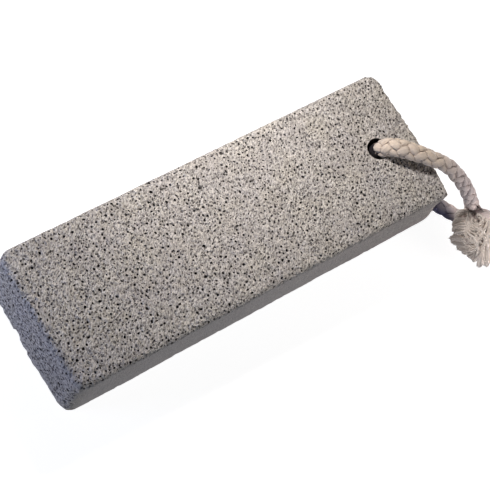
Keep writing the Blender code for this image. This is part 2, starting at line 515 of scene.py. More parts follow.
def face_sheet(shape, rng, up, rim, mouth, pores, lumps):
    """The top or the underside, out to the seam round the sides."""
    sheet = Sheet(shape, rng, lambda u, v: face_point(u, v, up), flip=up < 0)
    reach = FACE_REACH - EDGE_RADIUS
    border = []
    for step, index in enumerate(rim):
        x, y, out_x, out_y = outline_at(AROUND * step / RIM_STEPS)
        border.append((x + out_x * reach, y + out_y * reach, index))
    sheet.loop(border)
    sheet.loop([(*hole_at(step, HOLE_RADIUS + HOLE_RIM), index)
                for step, index in enumerate(mouth)])
    corner = (HALF_LENGTH + reach, HALF_WIDTH + reach)
    scatter = Scatter(rng, (-corner[0], -corner[1]), corner, face_room)
    fill(sheet, scatter, pores, lumps)


def hole_at(step, radius):
    angle = 2 * math.pi * step / HOLE_STEPS
    return HOLE_X + radius * math.cos(angle), radius * math.sin(angle)


def fill(sheet, scatter, pores, lumps):
    """Throws pores and then lumps at a sheet.

    Pores are (tries, smallest and largest radius, room between, corners, depth as a share of
    the radius, how likely) and lumps (tries, size, lowest and highest lift, how likely).
    """
    for tries, smallest, largest, gap, sides, deepness, likely in pores:
        for u, v, radius in scatter.throw(tries, smallest, largest, gap, likely):
            sheet.pore(u, v, radius, sides, deepness)
    for tries, size, low, high, likely in lumps:
        for u, v, _ in scatter.throw(tries, size, size, size * 0.4, likely):
            sheet.lump(u, v, sheet.rng.uniform(low, high))
    sheet.close()


def is_end(along, _height=0.0):
    """1 on the two ends of the bar, 0 on its long sides, for a place along the strip."""
    _, _, out_x, _ = outline_at(along)
    return 1.0 if abs(out_x) > 0.75 else 0.0


def front_of_end(along, _height):
    """Where the ends' larger pores are: most of them lie towards the front side."""
    return is_end(along) * (1.0 if outline_at(along)[1] < 0 else 0.15)


def strip_sheet(shape, rng, top_rim, low_rim, seam):
    """The strip round the sides: porous at the two ends, sawn smooth along the bar."""
    sheet = Sheet(shape, rng, strip_point)
    low, high = (
        [(AROUND * step / RIM_STEPS, height, vertex) for step, vertex in enumerate(rim + rim[:1])]
        for rim, height in ((low_rim, -STRIP_HALF), (top_rim, STRIP_HALF))
    )
    left, right = (
        [(along, strip_height(row), vertex) for row, vertex in enumerate(seam)]
        for along in (0.0, AROUND)
    )
    sheet.loop(low + right + high[::-1] + left[::-1])
    scatter = Scatter(rng, (0, -STRIP_HALF), (AROUND, STRIP_HALF), strip_room)
    pores = [
        (1500, 0.58, 0.86, 0.38, 8, 1.3, front_of_end),
        (9000, 0.34, 0.60, 0.28, 7, 1.5, is_end),
        (6000, 0.15, 0.26, 0.19, 5, 1.6, is_end),
        (620, 0.10, 0.17, 0.25, 5, 1.4, None),
    ]
    lumps = [
        (16000, 0.22, -0.05, 0.20, is_end),
        (5000, 0.85, -0.04, 0.06, None),
    ]
    fill(sheet, scatter, pores, lumps)


def bore(shape, mouths):
    """The wall of the rope hole between its two worn mouths."""
    rim = []
    for degrees in (30, 60, 90):
        turn = math.radians(degrees)
        height = HALF_THICKNESS - HOLE_RIM * (1 - math.cos(turn))
        rim.append((height, HOLE_RADIUS + HOLE_RIM * (1 - math.sin(turn))))
    span = HALF_THICKNESS - HOLE_RIM
    wall = [(span * quarter / 4, HOLE_RADIUS) for quarter in range(3, -4, -1)]
    rings = [mouths[1]]
    for height, radius in rim + wall + [(-height, radius) for height, radius in rim[::-1]]:
        ring = []
        for step in range(HOLE_STEPS):
            place = Vector((*hole_at(step, radius), height))
            swollen = radius + BORE_BUMP_HEIGHT * ripple(place, *BORE_BUMPS)
            # Mark 0.8 paints the bore wall with the pits' painted shade
            ring.append(shape.add(Vector((*hole_at(step, swollen), height)), 0.8))
        rings.append(ring)
    rings.append(mouths[-1])
    for upper, lower in zip(rings, rings[1:]):
        shape.join(lower, upper)


def patchy(strength, size, seed):
    """A likelihood that varies smoothly over a sheet."""
    def likely(u, v):
        return 1 + strength * (ripple(Vector((u, v, 0)), size, seed) - 0.5)
    return likely


def make_stone(material):
    shape = Shape()
    rng = random.Random(41)
    rims, mouths = {}, {}
    for up in (1, -1):
        rims[up] = []
        for step in range(RIM_STEPS):
            at = strip_point(AROUND * step / RIM_STEPS, up * STRIP_HALF)
            rims[up].append(skin_point(shape, *at, rng.uniform(-0.03, 0.04)))
        mouths[up] = [
            skin_point(shape, *face_point(*hole_at(step, HOLE_RADIUS + HOLE_RIM), up))
            for step in range(HOLE_STEPS)
        ]
    seam = [
        skin_point(shape, *strip_point(0.0, strip_height(row))) for row in range(STRIP_ROWS - 1)
    ]
    top_pores = [
        (90, 0.42, 0.60, 0.35, 8, 1.3, None),
        (5500, 0.28, 0.52, 0.30, 7, 1.8, patchy(0.9, 9.0, 2)),
        (5000, 0.16, 0.26, 0.24, 6, 1.7, None),
    ]
    top_lumps = [(20000, 0.22, -0.08, 0.36, None)]
    low_pores = [
        (120, 0.45, 0.60, 0.40, 8, 1.2, None),
        (800, 0.25, 0.42, 0.40, 6, 1.6, None),
    ]
    low_lumps = [
        (7000, 0.22, -0.04, 0.10, lambda u, v: float(u < 4 - HALF_LENGTH)),
        (9000, 0.30, -0.02, 0.05, lambda u, v: float(beyond_flat(u, v)[0] > -0.5)),
        (5000, 0.60, -0.05, 0.15, None),
    ]
    face_sheet(shape, rng, 1, rims[1], mouths[1], top_pores, top_lumps)
    face_sheet(shape, rng, -1, rims[-1], mouths[-1], low_pores, low_lumps)
    strip_sheet(shape, rng, rims[1], rims[-1], seam)
    bore(shape, mouths)
    tipped = Matrix.Translation((0, 0, BAR_HEIGHT)) @ Matrix.Rotation(-TILT, 4, "Y")
    shape.points = [list(tipped @ Vector(point)) for point in shape.points]
    for point in shape.points:
        point[2] = max(point[2], 0.0)
    return shape.build("porous_pumice_bar", "pore", material, sharp_degrees=48)


# ---------------- rope and yarn

def curve_point(controls, knots, at):
    """One point of a centripetal curve, by repeated interpolation between its controls."""
    layer = list(controls)
    for span in (1, 2):
        layer = [
            layer[i].lerp(layer[i + 1], (at - knots[i]) / (knots[i + span] - knots[i]))
            for i in range(len(layer) - 1)
        ]
    return layer[0].lerp(layer[1], (at - knots[1]) / (knots[2] - knots[1]))


def smooth_line(points, steps):
    """Points on a centripetal curve through the given points."""
    points = [Vector(point) for point in points]
    padded = [2 * points[0] - points[1], *points, 2 * points[-1] - points[-2]]
    line = []
    for index in range(1, len(padded) - 2):
        controls = padded[index - 1:index + 3]
        knots = [0.0]
        for left, right in zip(controls, controls[1:]):
            knots.append(knots[-1] + math.sqrt((right - left).length))
        for step in range(steps):
            at = knots[1] + (knots[2] - knots[1]) * step / steps
            line.append(curve_point(controls, knots, at))
    line.append(points[-1])
    return np.array(line)


def evenly(line, step):
    """The same line with its points a given step apart."""
    along = np.concatenate([[0], np.cumsum(np.linalg.norm(np.diff(line, axis=0), axis=1))])
    count = max(int(along[-1] / step), 3)
    places = np.linspace(0, along[-1], count + 1)
    return np.stack([np.interp(places, along, line[:, axis]) for axis in range(3)], axis=1)


def unit(vectors):
    return vectors / np.linalg.norm(vectors, axis=-1, keepdims=True)


def frames(line, facing=None):
    """Directions along, and two across, a line: the first of those faces a given way, or
    else both turn as little as they can."""
    along = unit(np.gradient(line, axis=0))
    if facing is not None:
        across = unit(facing - along * (along @ np.array(facing))[:, None])
        return along, across, np.cross(along, across)
    across = [unit(np.cross(along[0], (0.3, 0.2, 0.93)))]
    for direction in along[1:]:
        across.append(unit(across[-1] - direction * np.dot(across[-1], direction)))
    across = np.array(across)
    return along, across, np.cross(along, across)


class Strand:
    """A line with an oval section whose thin side faces outward."""

    REACH = 5         # how many rings back and forth another strand's points are compared with
    AHEAD = 1.3       # how far along the strand counts as one strand away

    def __init__(self, line, outward, half_width, half_height):
        self.line = line
        self.along = unit(np.gradient(line, axis=0))
        self.sideways = unit(np.cross(outward, self.along))
        self.upward = np.cross(self.along, self.sideways)
        self.half_width = half_width[:, None]
        self.half_height = half_height[:, None]

    def rings(self, angle, grooved):
        """Points round the strand, one ring for each point of its line."""
        wide = (self.half_width * np.cos(angle)[None, :] * grooved)[..., None]
        high = (self.half_height * np.sin(angle)[None, :] * grooved)[..., None]
        sides = wide * self.sideways[:, None, :] + high * self.upward[:, None, :]
        return self.line[:, None, :] + sides

    def nearness(self, rings):
        """1 for points on this strand's skin, less for points in it and more away from it."""
        nearest = np.full(rings.shape[:2], np.inf)
        count = len(self.line)
        for shift in range(-self.REACH, self.REACH + 1):
            rows = np.clip(np.arange(count) + shift, 0, count - 1)
            offset = rings - self.line[rows][:, None, :]
            wide = (offset * self.sideways[rows][:, None, :]).sum(axis=2)
            high = (offset * self.upward[rows][:, None, :]).sum(axis=2)
            ahead = (offset * self.along[rows][:, None, :]).sum(axis=2)
            spread = (wide / self.half_width[rows]) ** 2 + (high / self.half_height[rows]) ** 2
            nearest = np.minimum(nearest, np.sqrt(spread + (ahead / self.AHEAD) ** 2))
        return nearest


def braid(shape, line, thickness, facing=None):
    """Eight strands that wind round a line, four each way, over and under each other."""
    line = evenly(line, ROPE_STEP)
    _, across, upward = frames(line, facing)
    along = np.arange(len(line)) * ROPE_STEP
    size = thickness(along / along[-1])
    winding = np.cumsum(2 * math.pi * ROPE_STEP * size ** 2 / BRAID_LEAD)
    strands = []
    for way in (1, -1):
        for strand in range(STRANDS_EACH_WAY):
            turn = way * winding + 2 * math.pi * (strand + 0.25 * way) / STRANDS_EACH_WAY
            swing = np.tanh(STRAND_DWELL * np.cos(STRANDS_EACH_WAY * turn))
            over = way * swing / math.tanh(STRAND_DWELL)
            radius = size * (STRAND_CIRCLE + STRAND_WAVE * over)
            turn = turn + BRAID_TURN
            out = np.cos(turn)[:, None] * across + np.sin(turn)[:, None] * upward
            middle = line + radius[:, None] * out
            middle[:, 2] = np.maximum(middle[:, 2], STRAND_THICKNESS / 2)
            half_width = size * STRAND_WIDTH / 2 * (1 + STRAND_BULGE * over)
            strands.append(Strand(middle, out, half_width, size * STRAND_THICKNESS / 2))
    around = np.arange(STRAND_SIDES) * 2 * math.pi / STRAND_SIDES
    for number, strand in enumerate(strands):
        twist = along * (0.5 if number < STRANDS_EACH_WAY else -0.5) + number
        yarns = np.abs(np.sin(around[None, :] * STRAND_YARNS / 2 + twist[:, None]))
        grooved = 1 + YARN_GROOVE * (yarns - YARN_MEAN)
        rings = strand.rings(around, grooved)
        others = [other for other in strands if other is not strand]
        nearest = np.minimum.reduce([other.nearness(rings) for other in others])
        # Painted shade where another strand comes near, and in the yarn grooves
        touching = np.clip((TOUCH_FROM - nearest) / TOUCH_OVER, 0, 1)
        marks = TOUCH_SHADE * touching + GROOVE_SHADE * np.maximum(1 - grooved, 0)
        shape.add_rings(rings, np.clip(marks, 0, 1))


def tube(shape, line, radius, around, mark):
    """A plain round tube whose radius changes along it."""
    _, across, upward = frames(line)
    angle = np.arange(around) * 2 * math.pi / around
    ring = (
        np.cos(angle)[None, :, None] * across[:, None]
        + np.sin(angle)[None, :, None] * upward[:, None]
    )
    rings = line[:, None, :] + radius[:, None, None] * ring
    rings[..., 2] = np.maximum(rings[..., 2], OFF_TABLE)
    shape.add_rings(rings, np.full((len(line), around), mark))


def yarn(shape, line, radius, mark, around=6):
    """A plain thin thread, a little thinner at its free end."""
    count = len(line)
    tube(shape, line, radius * np.where(np.arange(count) < count - 2, 1, YARN_TIP), around, mark)


def rope_thickness(share):
    """The rope is plump where it leaves the hole and pulled thinner on either side."""
    return 0.93 + 0.17 * np.exp(-((share - 0.41) / 0.075) ** 2)


def even_thickness(size):
    return lambda share: np.full_like(share, size)


def lift_off(shape, height):
    """Keeps a shape's points at or above a height over the table."""
    for point in shape.points:
        point[2] = max(point[2], height)


def make_rope(material):
    """The braided loop, and the line through its middle."""
    shape = Shape()
    line = smooth_line(ROPE_ROUTE, LINE_STEPS)
    line[:, 2] = np.maximum(line[:, 2], ROPE_DIAMETER / 2 - REST_FLAT)
    braid(shape, line, rope_thickness, BRAID_FACING)
    stray_fibres(shape, evenly(line, FIBRE_STEP), random.Random(7))
    lift_off(shape, 0.0)
    for index, (x, y, z) in enumerate(shape.points):
        # Points inside the hole get painted shade, darkest deep down the hole
        if math.hypot(x - MOUTH[0], y) < HOLE_RADIUS + 0.3:
            shape.marks[index] += HOLE_SHADE_MARK * smoothstep(MOUTH[1] + 0.5, MOUTH[1] - 0.8, z)
    return shape.build("braided_rope", "gap", material), line


def stray_fibres(shape, line, rng):
    """Fine loose fibres that stand a little off the rope."""
    _, across, upward = frames(line)
    for _ in range(STRAY_FIBRES):
        start = rng.randrange(6, len(line) - 12)
        length = rng.uniform(1.5, 4.0)
        angle = rng.uniform(0, 2 * math.pi)
        drift = rng.uniform(-0.5, 0.5)
        lift = rng.uniform(0.05, 0.3)
        points = []
        for step in range(6):
            share = step / 5
            index = min(start + int(share * length / FIBRE_STEP), len(line) - 1)
            around = angle + drift * share
            height = FIBRE_HEIGHT + 1.3 * lift * math.sin(math.pi * share)
            out = math.cos(around) * across[index] + math.sin(around) * upward[index]
            points.append(line[index] + out * height + 0.1 * share)
        yarn(shape, evenly(np.array(points), 0.45), 0.035, 0.0, around=3)


# ---------------- knot and frayed ends

# The knot: the rope wrapped a turn and a half round an axis, with its start buried inside
KNOT_MIDDLE = Vector((90.3, -32.0, 6.8))
KNOT_AXIS = Vector((-0.62, -0.70, -0.34))
KNOT_TURNS = 1.45
KNOT_START = -0.9             # radians round the axis
KNOT_RADIUS = 4.0
KNOT_STEPS = 26
KNOT_THICKNESS = 0.92         # next to the rope's full thickness
LEG_THICKNESS = 0.86

# Where the rope's two legs run on into the knot
LEGS_INSIDE = [
    [(87.6, -27.5, 10.2), (88.6, -29.2, 8.4), (90.0, -31.0, 6.6), (92.0, -32.6, 5.6)],
    [(84.4, -25.6, 2.9), (85.4, -27.6, 3.5), (87.2, -30.0, 4.8), (89.6, -32.4, 5.8)],
]


def make_knot(material):
    """The rope wrapped round itself and pulled tight."""
    shape = Shape()
    axis = KNOT_AXIS.normalized()
    first = axis.cross(Vector((0, 0, 1))).normalized()
    second = axis.cross(first)
    points = []
    for step in range(KNOT_STEPS + 1):
        share = step / KNOT_STEPS
        angle = KNOT_START + share * 2 * math.pi * KNOT_TURNS
        buried = smoothstep(0.16, 0.0, share)
        radius = KNOT_RADIUS - 1.8 * smoothstep(0.85, 1.0, share) - 3.4 * buried
        along = -3.2 + 5.0 * share + 3.0 * buried
        out = first * math.cos(angle) + second * math.sin(angle)
        points.append(KNOT_MIDDLE + axis * along + out * radius)
    braid(shape, smooth_line(points, 4), even_thickness(KNOT_THICKNESS))
    for points in LEGS_INSIDE:
        braid(shape, smooth_line(points, LINE_STEPS), even_thickness(LEG_THICKNESS))
    lift_off(shape, OFF_TABLE)
    return shape.build("tied_knot", "gap", material)


# The thick strands that turn out of the knot and curl under, from the knot to the tip
CURLED_STRANDS = [
    [(86.0, -30.2, 9.6), (84.3, -27.9, 9.3), (83.2, -27.1, 7.3), (83.0, -27.8, 5.4)],
    [(85.5, -33.0, 10.4), (82.4, -30.4, 9.4), (81.0, -29.0, 7.0), (81.0, -29.6, 4.8)],
    [(84.5, -34.2, 10.8), (80.8, -31.7, 9.6), (79.5, -30.8, 6.9), (79.8, -31.6, 4.4)],
    [(84.0, -35.6, 10.2), (80.2, -33.4, 9.3), (78.9, -32.6, 6.8), (79.2, -32.8, 4.2)],
    [(83.5, -39.6, 8.2), (79.9, -36.4, 8.0), (78.3, -33.8, 6.2), (77.4, -32.7, 3.6)],
    [(83.0, -40.0, 6.6), (79.4, -37.6, 6.4), (78.2, -35.2, 4.8), (78.1, -34.0, 2.8)],
    [(83.0, -40.6, 5.0), (80.0, -39.0, 4.8), (79.4, -37.1, 3.4), (79.1, -36.0, 2.2)],
    [(83.4, -38.6, 9.0), (80.4, -39.6, 6.8), (79.5, -38.9, 4.2), (80.0, -38.0, 2.2)],
    [(83.6, -40.0, 8.0), (81.4, -41.2, 5.8), (80.8, -40.9, 3.4), (81.2, -40.0, 2.0)],
    [(83.6, -39.6, 8.6), (81.6, -42.2, 6.6), (81.1, -42.5, 3.8), (81.7, -41.8, 2.2)],
    [(84.4, -39.8, 8.8), (82.0, -43.2, 6.8), (81.6, -44.8, 4.2), (81.9, -45.0, 2.4)],
    [(85.4, -40.2, 8.8), (83.5, -43.9, 6.8), (83.6, -45.6, 4.5), (84.1, -45.8, 2.6)],
    [(87.2, -40.4, 8.6), (85.6, -44.0, 6.8), (86.0, -45.6, 4.6), (86.4, -45.4, 2.8)],
    [(89.6, -38.6, 8.0), (88.8, -42.4, 6.6), (88.9, -44.0, 4.4), (88.9, -43.4, 2.6)],
    [(91.4, -37.4, 7.2), (91.6, -40.6, 6.0), (91.4, -42.2, 4.0), (90.8, -41.4, 2.4)],
    [(86.6, -40.0, 4.4), (86.2, -43.0, 3.4), (86.8, -44.2, 2.2), (87.8, -43.6, 1.8)],
    [(88.6, -37.0, 3.6), (90.2, -39.8, 2.8), (91.8, -40.0, 2.0), (92.4, -38.8, 1.8)],
]

# Loose yarns that curl over the top of the tuft, several side by side along each line
YARN_CURLS = [
    [(85.0, -29.6, 10.6), (82.8, -31.6, 12.2), (82.6, -33.6, 12.6), (84.4, -34.4, 12.8),
     (86.2, -33.4, 12.8), (86.0, -31.9, 12.8), (84.6, -31.6, 12.7), (84.5, -32.7, 12.2)],
    [(85.4, -29.0, 10.4), (81.9, -30.9, 11.6), (81.0, -33.4, 12.0), (82.1, -35.3, 12.2),
     (84.4, -35.6, 12.2), (86.9, -34.2, 11.8)],
    [(88.0, -31.8, 11.6), (87.2, -35.0, 12.2), (84.8, -36.9, 12.0), (82.2, -37.7, 11.4),
     (81.2, -39.2, 10.2), (81.9, -41.0, 8.8)],
    [(89.4, -32.4, 11.4), (87.8, -36.2, 11.8), (85.4, -38.9, 11.2), (83.2, -40.4, 10.2),
     (81.9, -41.8, 8.0)],
    [(81.4, -32.0, 11.2), (80.0, -34.8, 11.2), (80.9, -36.9, 11.4), (81.3, -38.9, 10.4),
     (80.3, -40.2, 8.6), (79.4, -40.2, 6.8)],
    [(81.4, -33.6, 10.8), (80.2, -36.8, 10.4), (81.0, -39.1, 10.0), (81.2, -41.3, 8.4),
     (80.6, -42.5, 6.4)],
    [(83.0, -34.0, 12.2), (83.5, -36.6, 12.0), (84.7, -38.8, 11.2), (84.9, -41.5, 9.6),
     (83.6, -43.0, 7.8)],
    [(80.2, -33.3, 10.0), (79.8, -36.1, 9.8), (80.7, -37.9, 10.2), (82.4, -38.6, 10.6),
     (83.8, -40.5, 9.6)],
    [(90.9, -32.8, 10.8), (88.8, -36.8, 11.0), (86.7, -40.1, 10.2), (85.1, -43.2, 8.0)],
    [(89.6, -31.8, 11.4), (88.2, -35.2, 11.8), (86.2, -38.0, 11.4), (84.3, -41.2, 9.6)],
    [(91.8, -34.0, 9.6), (91.0, -38.0, 9.2), (89.4, -41.4, 7.8), (87.6, -43.8, 6.0)],
    [(86.2, -36.2, 11.6), (88.0, -38.4, 10.6), (88.4, -41.0, 9.0), (86.6, -43.0, 7.6)],
]

# The hidden middle of the tuft, which the strands close round
TUFT_HEART = [(88.6, -31.6, 7.2), (85.0, -33.8, 7.4), (83.4, -37.0, 6.6), (84.4, -41.4, 5.4)]
HEART_RADIUS = 3.3

STRAND_CORE = 0.72            # a cut strand's radius inside its yarns
YARN_CIRCLE = 0.88            # the radius that those yarns lie on
YARNS_ROUND = 10
YARNS_ABREAST = 6             # in a curl of loose yarns
SHORT_CURLS = 60
CURL_STEP = 0.35


def wobbled(line, size, reach, seed):
    """The line with every point moved a little, smoothly along it."""
    shifts = [
        [reach * ripple(Vector(point), size, seed + 3 * axis) for axis in range(3)]
        for point in line.tolist()
    ]
    return line + np.array(shifts)


def strand_end(shape, rng, points):
    """A cut strand of the rope: yarns laid round a core painted dark as the shade between them,
    opening a little at the tip.
    """
    line = evenly(smooth_line(points, LINE_STEPS), 0.45)
    _, across, upward = frames(line)
    share = np.linspace(0, 1, len(line))
    plump = 0.80 + 0.20 * np.sin(np.pi * share)
    # The core's mark paints the shade seen between the yarns
    tube(shape, line, STRAND_CORE * plump * (1 - 0.5 * share ** 6), 8, 0.75)
    spin = rng.choice((-1, 1)) * rng.uniform(0.8, 1.6)
    for number in range(YARNS_ROUND):
        angle = 2 * math.pi * number / YARNS_ROUND + rng.uniform(-0.15, 0.15) + share * spin
        reach = YARN_CIRCLE * plump * (1 + 0.25 * share ** 4 * rng.uniform(0, 1))
        out = np.cos(angle)[:, None] * across + np.sin(angle)[:, None] * upward
        cut = len(line) - rng.randrange(0, 3)
        laid = wobbled((line + reach[:, None] * out)[:cut], 1.8, 0.22, number * 2.3)
        yarn(shape, laid, rng.uniform(0.29, 0.35), 0.02 + 0.20 * rng.random())


def curled_yarns(shape, rng, points):
    """Loose yarns side by side along one curling line."""
    for number in range(YARNS_ABREAST):
        side = number - (YARNS_ABREAST - 1) / 2
        shift = Vector((0.34 * side, 0.20 * side, -0.05 * side * side))
        line = evenly(smooth_line([Vector(point) + shift for point in points], LINE_STEPS), 0.4)
        line = wobbled(line, 2.2, 0.75, 5.1 * number + 11)
        first = rng.randrange(0, 4)
        last = len(line) - rng.randrange(0, 7)
        yarn(shape, line[first:last], rng.uniform(0.24, 0.31), 0.40 * rng.random())


def curl(shape, rng, start, heading, length, bend, radius):
    """A loose yarn that curls as it goes."""
    points = [np.array(start, dtype=float)]
    heading = unit(np.array(heading, dtype=float))
    axis = unit(np.array([rng.uniform(-1, 1) for _ in range(3)]))
    for number in range(int(length / CURL_STEP)):
        share = number * CURL_STEP / length
        heading = heading + np.cross(axis, heading) * bend * (0.5 + share) * CURL_STEP
        heading = unit(heading + np.array([rng.uniform(-0.12, 0.12) for _ in range(3)]))
        after = points[-1] + heading * CURL_STEP
        after[2] = max(after[2], radius)
        points.append(after)
    yarn(shape, np.array(points), radius, 0.1 + 0.3 * rng.random())


def make_tuft(material):
    """The rope's two ends beyond the knot, come apart into strands and yarns."""
    shape = Shape()
    rng = random.Random(23)
    heart = evenly(smooth_line(TUFT_HEART, LINE_STEPS), 0.6)
    swell = HEART_RADIUS + 0.3 * np.sin(np.arange(len(heart)) * 0.9)
    swell[[0, -1]] *= 0.5
    # The heart is marked dark: painted shade seen between the strands
    tube(shape, heart, swell, 20, 0.9)
    for points in CURLED_STRANDS:
        strand_end(shape, rng, points)
    for points in YARN_CURLS:
        curled_yarns(shape, rng, points)
    for _ in range(SHORT_CURLS):
        angle = rng.uniform(0, 2 * math.pi)
        tall = rng.uniform(-0.1, 0.9)
        flat = math.sqrt(1 - tall ** 2)
        out = Vector((flat * math.cos(angle), flat * math.sin(angle), tall))
        start = Vector(TUFT_HEART[2]) + Vector((0.6, 1.2, 0)) + out * 4.3
        curl(shape, rng, start, Vector((-0.3, -0.6, -0.35)) + 0.25 * out, rng.uniform(2.5, 5),
             rng.uniform(-0.7, 0.7), rng.uniform(0.18, 0.26))
    lift_off(shape, OFF_TABLE)
    return shape.build("frayed_ends", "gap", material)


# ---------------- materials

# Stone
PALE_FROTH_AND_RELIEF_LIGHT = (0.83, 0.774, 0.706)
DIM_FROTH_AND_RELIEF_SHADE = (0.285, 0.264, 0.241)
WARM_PATCH = (0.52, 0.465, 0.39)
COOL_PATCH = (0.44, 0.41, 0.45)
HOLLOW_SHADE = (0.115, 0.104, 0.097)
SMALL_HOLLOW_SHADE = (0.24, 0.222, 0.21)
SAWN = (0.55, 0.512, 0.50)
SAWN_SHADE = (0.21, 0.20, 0.205)
SHADE_TO_HOLE_END = (0.165, 0.155, 0.15)
END_SHADE = (0.20, 0.20, 0.22)
END_CELL_SHADE = (0.085, 0.08, 0.085)
PIT_SHADE = (0.075, 0.067, 0.062)
PLAIN_END = (-0.0685, -0.0675)     # metres along, from on the plain end's face to past it

# Cotton
AGED = (0.62, 0.53, 0.45)
STRAND_SHADE_AND_TONE = (0.39, 0.30, 0.23)
PAINTED_HOLE_SHADE = (0.03, 0.025, 0.02)
GREYED_BY = (1.18, 1.245, 1.60)
PAINTED_DIMMING_UNDER_BAR = (0.26, 0.265, 0.33)
PAINTED_SHADE_UNDER_BAR = (0.06, 0.058, 0.12)
SHEEN = 0.6


class Nodes:
    """A short way to write a material's nodes. Where a method takes a number or a colour, it
    also takes a socket, and paint lays one colour after another over the tone so far."""

    def __init__(self, name):
        self.material = bpy.data.materials.new(name)
        self.material.use_nodes = True
        self.tree = self.material.node_tree
        self.shader = self.tree.nodes["Principled BSDF"]
        self.tone = None

    def add(self, kind, values=None, **settings):
        """A new node with its settings, and what goes into its sockets."""
        node = self.tree.nodes.new(kind)
        for key, value in settings.items():
            setattr(node, key, value)
        self.feed(node, values or {})
        return node

    def feed(self, node, values):
        for key, value in values.items():
            socket = node.inputs[key]
            if isinstance(value, bpy.types.NodeSocket):
                self.tree.links.new(value, socket)
            elif isinstance(value, tuple):
                socket.default_value = (*value, 1)[:len(socket.default_value)]
            else:
                socket.default_value = value

    def place(self, offset=(0, 0, 0), stretch=None):
        """Places on the piece itself, drawn out by stretch, which is degrees and a factor."""
        place = self.add("ShaderNodeTexCoord").outputs["Object"]
        if not any(offset) and not stretch:
            return place
        degrees, factor = stretch or (0, 1)
        turn = (0, 0, math.radians(degrees))
        values = {"Vector": place, "Location": offset, "Rotation": turn, "Scale": (factor, 1, 1)}
        return self.add("ShaderNodeMapping", values, vector_type="TEXTURE").outputs["Vector"]

    def noise(self, size_mm, detail, rough, offset=(0, 0, 0), stretch=None):
        values = {"Scale": 1 / (size_mm * MM), "Detail": detail, "Roughness": rough}
        values["Vector"] = self.place(offset, stretch)
        return self.add("ShaderNodeTexNoise", values).outputs["Fac"]

    def dots(self, size_mm, offset=(0, 0, 0), stretch=None):
        """The distance to the nearest of many scattered points, in steps of size_mm."""
        values = {"Scale": 1 / (size_mm * MM), "Vector": self.place(offset, stretch)}
        return self.add("ShaderNodeTexVoronoi", values).outputs["Distance"]

    def math(self, operation, first, second):
        return self.add("ShaderNodeMath", {0: first, 1: second}, operation=operation).outputs[0]

    def product(self, first, second):
        return self.math("MULTIPLY", first, second)

    def axes(self):
        """How far along, across and up a place is, in metres."""
        return self.add("ShaderNodeSeparateXYZ", {0: self.place()}).outputs

    def attribute(self, name):
        return self.add("ShaderNodeAttribute", attribute_name=name).outputs["Fac"]

    def span(self, value, low, high, to_low=0.0, to_high=1.0):
        values = dict(enumerate((value, low, high, to_low, to_high)))
        return self.add("ShaderNodeMapRange", values, interpolation_type="SMOOTHSTEP").outputs[0]

    def mix(self, share, first, second, blend="MIX"):
        values = {0: share, 6: first, 7: second}
        return self.add("ShaderNodeMix", values, data_type="RGBA", blend_type=blend).outputs[2]

    def paint(self, share, colour):
        self.tone = self.mix(share, self.tone, colour)

    def bump(self, height, depth_mm, strength, before=None):
        values = {"Height": height, "Distance": depth_mm * MM, "Strength": strength}
        if before:
            values["Normal"] = before
        return self.add("ShaderNodeBump", values).outputs["Normal"]

    def finish(self, roughness, normal):
        values = {"Base Color": self.tone, "Roughness": roughness, "Normal": normal}
        self.feed(self.shader, {**values, "Specular IOR Level": 0.2})
        return self.material


def pumice_material():
    """Pale lumps of frothy rock with small hollows between, smoother where it is sawn; shade is
    painted into the hollows, pits and bore.
    """
    n = Nodes("pumice")
    x, y, _ = n.axes()
    pore = n.attribute("pore")
    patches = n.noise(1.9, 4.0, 0.7, (6, 2, 4))
    ragged = n.math("ADD", pore, n.span(patches, 0.36, 0.64, -0.15, 0.36))
    sawn = n.span(ragged, -0.95, -0.25, 1.0, 0.0)
    open_rock = n.math("SUBTRACT", 1.0, n.product(sawn, 0.8))

    lumps = n.noise(0.47, 2.5, 0.6, stretch=(45, 1.95))
    # The tone follows the bump's own noise: raised lumps pale and low ones dim, partly the
    # froth's own tone and partly painted light and shade of the relief
    n.tone = n.mix(n.span(lumps, 0.34, 0.64), DIM_FROTH_AND_RELIEF_SHADE, PALE_FROTH_AND_RELIEF_LIGHT)
    n.paint(n.span(n.noise(7.0, 2.0, 0.5, (5, 4, 1)), 0.35, 0.7, 0.0, 0.35), WARM_PATCH)
    n.paint(n.span(n.noise(11.0, 2.0, 0.5, (3, 1, 2)), 0.3, 0.7, 0.0, 0.25), COOL_PATCH)
    often = n.span(n.noise(2.6, 1.0, 0.5, (8, 3, 1)), 0.34, 0.56, 0.4, 1.0)
    hollows = n.product(n.span(n.dots(0.93, stretch=(47, 1.5)), 0.17, 0.42, 0.92, 0.0), often)
    small = n.span(n.dots(0.72, (4, 2, 9), stretch=(45, 1.5)), 0.12, 0.42, 0.55, 0.0)
    # Painted shade of small hollows, as dark dots over the open rock
    n.paint(n.product(hollows, open_rock), HOLLOW_SHADE)
    n.paint(n.product(small, open_rock), SMALL_HOLLOW_SHADE)

    n.paint(sawn, n.mix(0.75, n.tone, SAWN))
    n.paint(n.product(sawn, n.span(patches, 0.30, 0.70, 0.26, 0.0)), SAWN_SHADE)
    # Painted shade on the sawn sides, darker towards the end with the hole
    n.paint(n.product(sawn, n.span(x, 0.005, 0.070, 0.0, 0.48)), SHADE_TO_HOLE_END)

    plain_end = n.span(x, *PLAIN_END, 1.0, 0.0)
    n.paint(n.product(plain_end, n.span(y, -0.014, 0.006, 0.24, 0.0)), END_SHADE)
    # Painted shade of pores on the plain end, more of it towards the front
    cells = n.span(n.dots(1.55, (7, 1, 3)), 0.20, 0.36, 0.9, 0.0)
    n.paint(n.product(cells, n.product(plain_end, n.span(y, -0.010, 0.012, 1.0, 0.55))), END_CELL_SHADE)
    # Painted shade in the pits and down the bore
    n.paint(n.span(pore, 0.02, 0.50), PIT_SHADE)

    coarse = n.bump(n.math("SUBTRACT", lumps, n.product(hollows, 0.5)), 0.50, 1.0)
    return n.finish(0.95, n.bump(n.noise(0.30, 2.0, 0.6, (2, 2, 2)), 0.08, 0.7, coarse))


